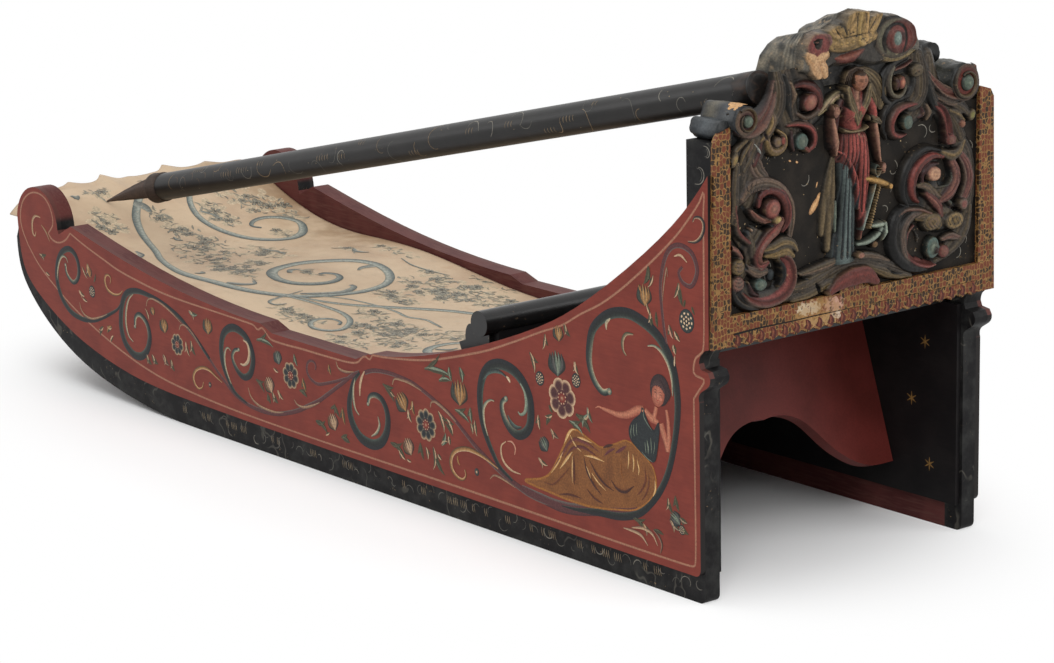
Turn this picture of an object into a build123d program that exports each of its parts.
# Painted push ice sled: two prowed side boards, a carved backboard, a seat, a floor with a floor cover
# and a loose spiked pole. X runs forward, Y to the sled's left, Z up from the ice. Millimetres.
import math
import os

from build123d import *

os.makedirs("parts", exist_ok=True)

# ---------- driving dimensions ----------
overall_width = 500.0        # outside of one painted panel to outside of the other
panel_thick = 8.0            # red painted panel, planted on the side board
board_thick = 24.0           # black side board, which is also the runner
lining_thick = 7.0           # thin board inside, under the seat
soft_gap = 0.3               # clearance kept round the floor cover and the loose pole

disc_x = 1586.0              # centre of the round prow head
disc_z = 252.0
disc_radius = 63.0
prow_nose_x = 1667.0         # foremost point of the black board
prow_nose_z = 222.0
flat_run = 1150.0            # length of runner that lies on the ice
heel_radius = 10.0

step_x = 957.0               # where the rim steps down for the rider's legs
step_drop = 11.0
waist_x = 720.0              # where the rim steps up again
waist_z = 188.0
crest_rim_z = 556.0          # where the swept rim meets the backboard's rear face

back_x = -24.0               # rear face of the backboard's frame
back_front_x = 29.0          # front face of the backboard and of the posts
field_x = -16.0              # carved field, set back between the stiles
facing_thick = 6.0           # spotted stiles and rail
post_top_z = 586.0
ear_z = 300.0                # top of the scrolled lug under the backboard
ear_reach = 20.0
apron_z = 329.0              # lowest edge of the toothed apron
rail_z = 348.0               # joint between apron and bottom rail
field_z = 370.0              # lowest edge of the carved field

border = 37.0                # black border that shows below the red panel
seat_z = 325.0               # seat board, against the backboard
seat_thick = 14.0
seat_depth = 196.0
well_z = 246.0               # lower board, between the seat and the thigh rail
well_front_x = 444.0
front_board_thick = 12.0
thigh_rail_x = 456.0         # round rail across the sled in front of the well
thigh_rail_z = 281.5
thigh_rail_radius = 17.5
thigh_rail_reach = 17.0      # how far its ends pass over the boards' inner faces
bracket_thick = 16.0
bracket_reach = 28.0         # foot of the bracket, in front of the rail's middle
brace_foot_x = 121.0         # under-seat brace: rear lower edge
brace_foot_z = 74.0
brace_lean = 17.9            # degrees, top forward
brace_thick = 20.0
arch_z = 165.0
lining_foot_z = 36.0

floor_z = 170.0              # upper face of the floor beside the seat
floor_ramp_x = 850.0         # where the floor starts its gentle rise
floor_ramp_length = 400.0
floor_ramp_rise = 34.0
floor_prow_x = 1350.0        # where the floor turns up to the prow
floor_prow_rise = 70.0
floor_thick = 10.0
floor_gap = 3.0
plank_count = 3
cover_thick = 2.4
cover_front_x = 1702.0
cover_front_z = 284.0

iron_width = 9.0             # runner iron let into the bottom edge
iron_depth = 5.0

pole_radius = 21.5
pole_tail_x = -4.0
pole_tail_z = 642.0
pole_nose_x = 1452.0
pole_nose_z = 312.5
ferrule_length = 26.0
ferrule_wall = 1.8
spike_length = 175.0
spike_radius = 10.0

relief_depth = 13.0          # usual height of the carving over its field
layout_inner = 218.0         # half width between the boards that the carving is laid out for

half_width = overall_width / 2
board_outer = half_width - panel_thick
board_inner = board_outer - board_thick
lining_inner = board_inner - lining_thick
floor_front_x = disc_x + 50.0
stile_inner = board_inner
across = board_inner / layout_inner
pole_tail = (pole_tail_x, 150 * across, pole_tail_z)
pole_nose = (pole_nose_x, 105 * across, pole_nose_z)
post_back_x = back_x + facing_thick

nodes = {}


def side_plane(y):
    """Sketch plane whose local x is +X and local y is +Z, lying at that Y and facing -Y."""
    return Plane(origin=(0, y, 0), x_dir=(1, 0, 0), z_dir=(0, -1, 0))


def rear_plane(x):
    """Sketch plane whose local x is +Y and local y is +Z, lying at that X and facing +X."""
    return Plane(origin=(x, 0, 0), x_dir=(0, 1, 0), z_dir=(1, 0, 0))


def slab_y(face, y_low, y_high):
    """Extrude an X-Z face from y_low to y_high."""
    placed = side_plane(y_high) * face
    return extrude(placed, amount=y_high - y_low, dir=(0, -1, 0))


def slab_x(face, x_low, x_high):
    """Extrude a Y-Z face from x_low to x_high."""
    placed = rear_plane(x_low) * face
    return extrude(placed, amount=x_high - x_low, dir=(1, 0, 0))


def block(x0, x1, y0, y1, z0, z1):
    return Pos((x0 + x1) / 2, (y0 + y1) / 2, (z0 + z1) / 2) * Box(x1 - x0, y1 - y0, z1 - z0)


def wire_face(*edges):
    return make_face(list(edges))


# ---------- side outlines, in X and Z ----------
rim_peak = (disc_x - 104, disc_z + 14)
notch_foot = (disc_x - 66, disc_z - 4)
step_top = (step_x, waist_z + step_drop)
step_foot = (step_x - 30, waist_z + 1)
waist_foot = (waist_x, waist_z)
waist_top = (waist_x - 30, waist_z + 12)
rim_line = [rim_peak, (1395, 248), (1253, 223), (1115, 207), step_top]
sweep_line = [
    waist_top, (615, 210), (547, 225), (457, 251), (350, 289),
    (266, 326), (186, 374), (108, 429), (32, 492), (post_back_x, crest_rim_z - 8),
]
notch_top = (post_back_x, apron_z + 3)
notch_deep = (0.0, ear_z + 12)
ear_top = (-ear_reach + 4, ear_z + 3)
ear_tip = (-ear_reach, ear_z - 4)
ear_root = (0.0, ear_z - 38)


def head_and_rim():
    """Prow head, notch, rim, step, waist and sweep, from the head's front to the backboard."""
    head_start = (disc_x + disc_radius * math.cos(math.radians(10)), disc_z + disc_radius * math.sin(math.radians(10)))
    head_end = (disc_x - disc_radius, disc_z + 2)
    return [
        ThreePointArc(head_start, (disc_x, disc_z + disc_radius), head_end),
        Line(head_end, notch_foot),
        Line(notch_foot, rim_peak),
        Spline(*rim_line),
        Line(step_top, step_foot),
        Line(step_foot, waist_foot),
        Line(waist_foot, waist_top),
        Spline(*sweep_line),
    ], head_start


def ear_edges():
    """Hollow under the backboard, the lug and the ogee down to the board's rear edge."""
    return [
        ThreePointArc(notch_top, (notch_deep[0] - 4, notch_deep[1] + 12), notch_deep),
        Line(notch_deep, (-3, ear_z + 5)),
        Line((-3, ear_z + 5), ear_top),
        Line(ear_top, ear_tip),
        Spline(ear_tip, (-ear_reach + 5, ear_z - 16), (-3, ear_z - 24), ear_root),
    ]


def board_face():
    """Black side board with its post up beside the backboard."""
    edges, head_start = head_and_rim()
    edges = edges[:-1] + [
        Spline(*sweep_line[:-1], (back_front_x, 495)),
        Line((back_front_x, 495), (back_front_x, post_top_z)),
        Line((back_front_x, post_top_z), (post_back_x, post_top_z)),
        Line((post_back_x, post_top_z), notch_top),
    ]
    edges += ear_edges()
    edges += [
        Line(ear_root, (0, heel_radius)),
        ThreePointArc((0, heel_radius), (heel_radius * 0.29, heel_radius * 0.29), (heel_radius, 0)),
        Line((heel_radius, 0), (flat_run, 0)),
        Spline(
            (flat_run, 0), (1371, 19), (1547, 74), (1638, 140), (prow_nose_x, prow_nose_z),
            tangents=[(1, 0), (0, 1)],
        ),
        Line((prow_nose_x, prow_nose_z), head_start),
    ]
    return make_face(edges)


def panel_face():
    """Red panel: the same rim, with its lower edge kept above the black border."""
    edges, head_start = head_and_rim()
    edges += [Line(sweep_line[-1], notch_top)]
    edges += ear_edges()
    low = (heel_radius, border)
    edges += [
        Line(ear_root, (0, border + heel_radius)),
        ThreePointArc((0, border + heel_radius), (heel_radius * 0.29, border + heel_radius * 0.29), low),
        Spline(
            low, (430, border + 2), (866, border + 4), (1130, border + 7), (1300, border + 15),
            (1400, 68), (1500, 96), (1580, 133), (1632, 176), head_start,
            tangents=[(1, 0), (0.1, 1)],
        ),
    ]
    return make_face(edges)


def runner_iron_face():
    """Band that follows the runner's bottom edge, as deep as the iron."""
    lower = Spline((flat_run, 0), (1371, 19), (1547, 74), (1638, 140), tangents=[(1, 0), (0.55, 1)])
    count = 14
    upper_points = []
    for i in range(count + 1):
        at = lower.position_at(1 - i / count)
        along = lower.tangent_at(1 - i / count)
        upper_points.append((at.X - along.Y * iron_depth, at.Y + along.X * iron_depth))
    upper_points[-1] = (flat_run, iron_depth)
    return make_face([
        Line((3 * heel_radius, 0), (flat_run, 0)),
        lower,
        Line((lower @ 1), upper_points[0]),
        Spline(*upper_points),
        Line((flat_run, iron_depth), (3 * heel_radius, iron_depth)),
        Line((3 * heel_radius, iron_depth), (3 * heel_radius, 0)),
    ])


board_shape = board_face()
panel_shape = panel_face()
iron_shape = runner_iron_face()
board_mid = (board_outer + board_inner) / 2

for name, sign in (("left", 1), ("right", -1)):
    board_span = sorted((sign * board_inner, sign * board_outer))
    panel_span = sorted((sign * board_outer, sign * half_width))
    iron_span = sorted((sign * (board_mid - iron_width / 2), sign * (board_mid + iron_width / 2)))
    iron = slab_y(iron_shape, *iron_span)
    nodes[name + "_runner_iron"] = iron
    nodes[name + "_side_board"] = slab_y(board_shape, *board_span) - iron
    nodes[name + "_painted_panel"] = slab_y(panel_shape, *panel_span)

# ---------- seat, well, thigh rail, brace and linings ----------
seat_under = seat_z - seat_thick
seat_front_x = back_front_x + seat_depth
nodes["seat_board"] = block(back_front_x, seat_front_x, -board_inner, board_inner, seat_under, seat_z)

rail_half = board_inner + thigh_rail_reach
thigh_rail = slab_y(Pos(thigh_rail_x, thigh_rail_z) * Circle(thigh_rail_radius), -rail_half, rail_half)
nodes["thigh_rail"] = thigh_rail


def floor_top(x):
    """Height of the floor's upper face: level by the seat, a gentle rise, then up to the prow."""
    ease = min(1.0, max(0.0, (x - floor_ramp_x) / floor_ramp_length))
    lift = max(0.0, (x - floor_prow_x) / (floor_front_x - floor_prow_x))
    return floor_z + floor_ramp_rise * ease * ease * (3 - 2 * ease) + floor_prow_rise * lift * lift


rail_low_z = thigh_rail_z - thigh_rail_radius
front_board_x = well_front_x + front_board_thick
front_board = block(well_front_x, front_board_x, -lining_inner, lining_inner, floor_top(0), rail_low_z + 5)
nodes["well_front_board"] = front_board - thigh_rail

bracket_foot_x = thigh_rail_x + bracket_reach
bracket_top_z = rail_low_z + 8
bracket_nose = [
    (thigh_rail_x + 36, bracket_top_z), (thigh_rail_x + 47, bracket_top_z - 3),
    (thigh_rail_x + 51, bracket_top_z - 11), (thigh_rail_x + 52, bracket_top_z - 24),
]
bracket_ledge = [(thigh_rail_x + 66, bracket_top_z - 29), (thigh_rail_x + 63, bracket_top_z - 37)]
bracket_face = make_face([
    Line((front_board_x, floor_top(0)), (front_board_x, bracket_top_z)),
    Line((front_board_x, bracket_top_z), bracket_nose[0]),
    Spline(*bracket_nose),
    Line(bracket_nose[-1], bracket_ledge[0]),
    Line(bracket_ledge[0], bracket_ledge[1]),
    Line(bracket_ledge[1], (bracket_foot_x, floor_top(0))),
    Line((bracket_foot_x, floor_top(0)), (front_board_x, floor_top(0))),
])
for name, sign in (("left", 1), ("right", -1)):
    span = sorted((sign * (board_inner - bracket_thick), sign * board_inner))
    nodes[name + "_rail_bracket"] = slab_y(bracket_face, *span) - thigh_rail
    lining_face = make_face(Polyline(
        (5, lining_foot_z), (well_front_x, lining_foot_z), (well_front_x, well_z),
        (seat_front_x, seat_under), (5, seat_under), close=True,
    ))
    span = sorted((sign * lining_inner, sign * board_inner))
    nodes[name + "_lining"] = slab_y(lining_face, *span)

# brace: a leaning board with an ogee arch cut in its lower edge
lean = math.radians(brace_lean)
brace_length = (seat_under - brace_foot_z) / math.cos(lean)


def up(z):
    return (z - brace_foot_z) / math.cos(lean)


arch_half = lining_inner - 25
arch_side = [
    (1, brace_foot_z), (0.81, 82), (0.68, 96), (0.55, 116), (0.44, 138), (0.32, 156), (0.21, 164), (0, arch_z),
]
arch_right = [(share * arch_half, up(z)) for share, z in arch_side]
arch_left = [(-y, v) for y, v in reversed(arch_right)]
brace_face = make_face([
    Line((-lining_inner, 0), arch_left[-1]),
    Spline(*reversed(arch_left)),
    Spline(*reversed(arch_right)),
    Line(arch_right[0], (lining_inner, 0)),
    Line((lining_inner, 0), (lining_inner, brace_length + 20)),
    Line((lining_inner, brace_length + 20), (-lining_inner, brace_length + 20)),
    Line((-lining_inner, brace_length + 20), (-lining_inner, 0)),
])
brace_plane = Plane(
    origin=(brace_foot_x, 0, brace_foot_z), x_dir=(0, 1, 0),
    z_dir=(math.cos(lean), 0, -math.sin(lean)),
)
brace = extrude(brace_plane * brace_face, amount=brace_thick, dir=(math.cos(lean), 0, -math.sin(lean)))
brace = brace - block(0, well_front_x, -half_width, half_width, seat_under, 2 * seat_z)
nodes["seat_brace"] = brace
well = block(brace_foot_x, well_front_x, -lining_inner, lining_inner, well_z - seat_thick, well_z)
nodes["well_board"] = (well - brace).solids().sort_by(Axis.X)[-1]

# ---------- floor planks, cross bars and the floor cover ----------
def floor_band(x_low, x_high, under, over, step=6):
    """X-Z band that follows the floor from `under` to `over` above its upper face."""
    xs = [x_low + (x_high - x_low) * i / step for i in range(step + 1)]
    top = [(x, floor_top(x) + over) for x in xs]
    bottom = [(x, floor_top(x) + under) for x in reversed(xs)]
    return make_face([
        Spline(*top), Line(top[-1], bottom[0]), Spline(*bottom), Line(bottom[-1], top[0]),
    ])


plank_face = floor_band(well_front_x, floor_front_x, -floor_thick, 0, step=24)
plank_width = (2 * board_inner - (plank_count - 1) * floor_gap) / plank_count
for i in range(plank_count):
    y_low = -board_inner + i * (plank_width + floor_gap)
    nodes["floor_plank_%d" % (i + 1)] = slab_y(plank_face, y_low, y_low + plank_width)

bar_depth = 34.0
bar_width = 42.0
planks_zone = slab_y(plank_face, -half_width, half_width)
for name, x_mid in (("rear", 520.0), ("middle", 960.0), ("front", 1400.0), ("prow", floor_front_x - 24)):
    under = min(floor_top(x_mid - bar_width / 2), floor_top(x_mid + bar_width / 2)) - floor_thick
    bar = block(
        x_mid - bar_width / 2, x_mid + bar_width / 2, -board_inner, board_inner,
        under - bar_depth, under + floor_thick,
    )
    nodes[name + "_cross_bar"] = (bar - planks_zone).solids().sort_by(Axis.Z)[0]

cover_rear_x = bracket_foot_x + 3.0
cover_steps = 24
cover_line = []
for i in range(cover_steps + 1):
    x = cover_rear_x + (floor_front_x - cover_rear_x) * i / cover_steps
    cover_line.append((x, floor_top(x) + soft_gap))
cover_top = [(x, z + cover_thick) for x, z in reversed(cover_line)]
lip_low = (cover_front_x, cover_front_z - cover_thick)
lip_high = (cover_front_x, cover_front_z)
cover_face = make_face([
    Spline(*cover_line), Line(cover_line[-1], lip_low), Line(lip_low, lip_high),
    Line(lip_high, cover_top[0]), Spline(*cover_top), Line(cover_top[-1], cover_line[0]),
])
cover_half = board_inner - 2.0
nodes["floor_cover"] = slab_y(cover_face, -cover_half, cover_half)

# ---------- backboard ----------
nodes["backboard_field"] = block(field_x, back_front_x, -board_inner, board_inner, rail_z, post_top_z)
nodes["bottom_rail"] = block(back_x, field_x, -stile_inner, stile_inner, rail_z, field_z)

tooth_count = 22
tooth_pitch = 2 * board_inner / tooth_count
tooth_height = 5.0
apron_points = [(-board_inner, rail_z - 0.6), (-board_inner, apron_z + tooth_height)]
for i in range(tooth_count):
    y = -board_inner + i * tooth_pitch
    apron_points += [(y + tooth_pitch / 2, apron_z), (y + tooth_pitch, apron_z + tooth_height)]
apron_points += [(board_inner, rail_z - 0.6)]
apron = slab_x(make_face(Polyline(*apron_points, close=True)), back_x, back_x + 16)
nodes["toothed_apron"] = apron

for name, sign in (("left", 1), ("right", -1)):
    stile = make_face(Polyline(
        (sign * stile_inner, apron_z + 3), (sign * (half_width - 1.0), apron_z + 3),
        (sign * (half_width - 6.0), post_top_z + 2), (sign * (half_width - 12.0), post_top_z + 12),
        (sign * stile_inner, post_top_z + 18), close=True,
    ))
    nodes[name + "_stile"] = slab_x(stile, back_x, back_x + facing_thick)

# crest: one thick board cut to a scrolled outline, with a hollow each side where the pole lies
pole_fall = (pole_tail[2] - pole_nose[2]) / (pole_nose[0] - pole_tail[0])
pole_under = pole_radius * math.hypot(1, pole_fall)
valley_y = pole_tail[1]
valley_z = pole_tail[2] - pole_fall * (back_front_x - pole_tail[0]) - pole_under - soft_gap


def spread(points):
    """Points of the carving, with Y kept in step with the width between the boards."""
    return [(y * across, z) for y, z in points]


crest_hump = spread([(0, 719), (24, 717), (50, 709), (74, 702), (100, 688), (119, 666), (123, 650), (124, 632)])
crest_shoulder = spread([(173, 630), (182, 637), (196, 637), (209, 630), (215, 617)])
crest_half = crest_hump + [
    (valley_y - 16, valley_z + 5), (valley_y, valley_z), (valley_y + 16, valley_z + 5),
] + crest_shoulder + [
    (board_inner + 4, 611), (board_inner + 15, 607), (board_outer - 2, 598), (board_outer, post_top_z),
]
crest_left = Spline(*[(y, z) for y, z in crest_half])
crest_right = Spline(*[(-y, z) for y, z in reversed(crest_half)])
crest_shape = make_face([
    crest_right,
    crest_left,
    Line((board_outer, post_top_z), (-board_outer, post_top_z)),
])
nodes["crest_board"] = slab_x(crest_shape, field_x, back_front_x)

# ---------- carving on the backboard, in Y and Z ----------
relief_back = field_x


def ribbon(points, widths):
    """Face of a band along a curve through points, with its own half width at each point."""
    path = Spline(*spread(points))
    count = 4 * (len(points) - 1)
    left_side, right_side = [], []
    for i in range(count + 1):
        t = i / count
        at, along = path.position_at(t), path.tangent_at(t)
        k = t * (len(widths) - 1)
        j = min(int(k), len(widths) - 2)
        w = widths[j] + (widths[j + 1] - widths[j]) * (k - j)
        left_side.append((at.X - along.Y * w, at.Y + along.X * w))
        right_side.append((at.X + along.Y * w, at.Y - along.X * w))
    right_side.reverse()
    return make_face([
        Spline(*left_side), Line(left_side[-1], right_side[0]),
        Spline(*right_side), Line(right_side[-1], left_side[0]),
    ])


def carve(points, widths, depth):
    return slab_x(ribbon(points, widths), relief_back - depth, relief_back)


def boss(y, z, radius, depth):
    """Round eye of a scroll."""
    return slab_x(Pos(y * across, z) * Circle(radius), relief_back - depth, relief_back)


def mirrored(shape):
    return mirror(shape, about=Plane.XZ)


def join(shapes):
    whole = shapes[0]
    for extra in shapes[1:]:
        whole = whole + extra
    return whole


def lower_scrolls():
    """Two linked C-scrolls beside the figure, on the left."""
    deep = relief_depth
    return join([
        carve([(204, 546), (203, 520), (207, 490), (201, 462), (182, 446)], [4, 8, 9, 9, 6], deep),
        carve([(190, 502), (178, 520), (150, 526), (126, 508), (122, 480), (138, 462), (160, 456)],
              [5, 8, 9, 10, 9, 10, 8], deep + 3),
        carve([(160, 456), (180, 440), (190, 420), (200, 398), (170, 384), (136, 387), (117, 404), (119, 426)],
              [8, 9, 8, 8, 9, 9, 9, 5], deep),
        boss(150, 494, 27, deep - 7),
        boss(150, 494, 17, deep + 9),
        boss(172, 404, 25, deep - 7),
        boss(172, 404, 15, deep + 8),
    ])


def upper_scrolls():
    """Acanthus stem that drops from the crest, with its volutes, on the left."""
    deep = relief_depth
    return join([
        carve([(132, 640), (138, 612), (160, 590), (186, 582), (206, 592), (208, 606)], [8, 14, 13, 11, 8, 5], deep),
        carve([(128, 632), (112, 622), (104, 600), (86, 586), (84, 570)], [12, 14, 11, 9, 7], deep),
        carve([(160, 590), (184, 572), (200, 560)], [8, 9, 3], deep - 3),
        boss(194, 606, 13, deep + 8),
        boss(98, 574, 16, deep + 8),
        boss(138, 578, 13, deep + 4),
        boss(85, 620, 20, deep + 8),
    ])


left_lower = lower_scrolls()
left_upper = upper_scrolls()
nodes["left_lower_scrolls"] = left_lower
nodes["right_lower_scrolls"] = mirrored(left_lower)
nodes["left_upper_scrolls"] = left_upper
nodes["right_upper_scrolls"] = mirrored(left_upper)

nodes["left_crest_volute"] = boss(76, 676, 23, 18)
nodes["right_crest_volute"] = boss(-60, 676, 27, 20)
crown_points = [
    (38, 670), (44, 700), (30, 706), (24, 716), (10, 708), (-2, 716), (-14, 704), (-26, 700), (-20, 670),
]
crown_face = make_face(Polyline(*spread(crown_points), close=True))
nodes["crown"] = slab_x(crown_face, relief_back - 20, relief_back)

mound_points = spread([(120, 374), (100, 396), (72, 412), (40, 419), (8, 421), (-24, 414), (-50, 402), (-84, 374)])
mound_face = make_face([Spline(*mound_points), Line(mound_points[-1], mound_points[0])])
nodes["mound"] = slab_x(mound_face, relief_back - 12, relief_back)
cartouche_face = make_face([
    Spline((44, 374), (38, 390), (22, 401), (-6, 402), (-22, 390), (-30, 374)),
    Line((-30, 374), (44, 374)),
])
nodes["cartouche"] = slab_x(cartouche_face, relief_back - 16, relief_back - 12)

# figure: gown, bodice, head, arms and cloak
skirt_face = make_face([
    Line((36, 577), (-5, 577)),
    Spline((-5, 577), (-14, 548), (-12, 500), (-4, 460), (-6, 421)),
    Line((-6, 421), (30, 421)),
    Spline((30, 421), (40, 460), (46, 510), (46, 540), (36, 577)),
])
skirt = slab_x(skirt_face, relief_back - 17, relief_back) - nodes["mound"]
bodice_face = make_face([
    Spline((36, 577), (34, 596), (40, 612), (20, 622)),
    Line((20, 622), (-2, 622)),
    Spline((-2, 622), (-18, 608), (-8, 594), (-5, 577)),
    Line((-5, 577), (36, 577)),
])
bodice = slab_x(bodice_face, relief_back - 18, relief_back)
nodes["figure_gown"] = skirt + bodice
neck = slab_x(Pos(8, 621) * Circle(7), relief_back - 14, relief_back)
head = Pos(relief_back - 9, 8, 638) * Sphere(12.5)
head_back = slab_x(Pos(8, 638) * Circle(11), relief_back - 8, relief_back)
nodes["figure_head"] = (head - block(relief_back, 60, -60, 60, 600, 700)) + head_back
nodes["figure_neck"] = neck - nodes["figure_head"] - nodes["figure_gown"]
left_arm = join([
    carve([(42, 610), (46, 584), (44, 562)], [6, 9, 8], 19),
    carve([(44, 562), (54, 582), (56, 606)], [7, 7, 5], 19),
])
nodes["figure_left_arm"] = left_arm - nodes["figure_gown"]
right_arm = carve([(-14, 602), (-22, 570), (-32, 545), (-38, 520)], [7, 6, 5, 4], 17)
nodes["figure_right_arm"] = right_arm - nodes["figure_gown"]
nodes["cloak_tail"] = carve([(46, 528), (58, 480), (50, 432)], [4, 11, 8], 10) - nodes["figure_gown"]
veil_face = make_face(Polyline((2, 646), (-26, 630), (-46, 612), (-30, 596), (-10, 600), (2, 620), close=True))
nodes["veil"] = (
    slab_x(veil_face, relief_back - 8, relief_back)
    - nodes["figure_gown"] - nodes["figure_head"] - nodes["figure_right_arm"] - nodes["figure_neck"]
)
scarf_face = make_face(Polyline((30, 632), (58, 612), (66, 604), (48, 608), (30, 616), (22, 626), close=True))
nodes["scarf"] = (
    slab_x(scarf_face, relief_back - 9, relief_back)
    - nodes["figure_gown"] - nodes["figure_left_arm"] - nodes["figure_head"] - nodes["left_upper_scrolls"]
)
shank = slab_x(ribbon([(-27, 518), (-14, 486), (0, 454)], [2.5, 2.5, 2.5]), relief_back - 21, relief_back - 15)
stock = slab_x(ribbon([(-8, 511), (-26, 504), (-44, 498)], [4, 4.5, 4]), relief_back - 23, relief_back - 15)
flukes = slab_x(ribbon([(4, 428), (-12, 436), (-34, 448), (-44, 430)], [3, 5, 8, 3]), relief_back - 15, relief_back)
stock_post = boss(-20, 500, 4, 16)
nodes["anchor_head"] = (shank + stock + stock_post) - nodes["figure_right_arm"] - nodes["figure_gown"]
nodes["anchor_flukes"] = flukes - nodes["mound"] - nodes["figure_gown"]

# ---------- loose spiked pole ----------
tail = Vector(*pole_tail)
nose = Vector(*pole_nose)
along_pole = (nose - tail).normalized()
pole_length = (nose - tail).length
shaft_plane = Plane(origin=tail, z_dir=along_pole)
shaft = shaft_plane * (Pos(0, 0, pole_length / 2) * Cylinder(pole_radius, pole_length))
ferrule_start = pole_length - ferrule_length
ferrule_outer = shaft_plane * (
    Pos(0, 0, ferrule_start + ferrule_length / 2) * Cylinder(pole_radius + ferrule_wall, ferrule_length)
)
nodes["pole_ferrule"] = ferrule_outer - shaft
nodes["pole_shaft"] = shaft
nodes["pole_spike"] = shaft_plane * (
    Pos(0, 0, pole_length + spike_length / 2) * Cone(spike_radius, 1.5, spike_length)
)

# ---------- write every piece about the middle of the sled's box, standing on the ice ----------
low_x = min(shape.bounding_box().min.X for shape in nodes.values())
high_x = max(shape.bounding_box().max.X for shape in nodes.values())
centre_x = (low_x + high_x) / 2
print("centre_x", round(centre_x, 3), "length", round(high_x - low_x, 1))
for name, shape in nodes.items():
    placed = Pos(-centre_x, 0, 0) * shape
    placed.label = name
    export_step(placed, "parts/" + name + ".step")
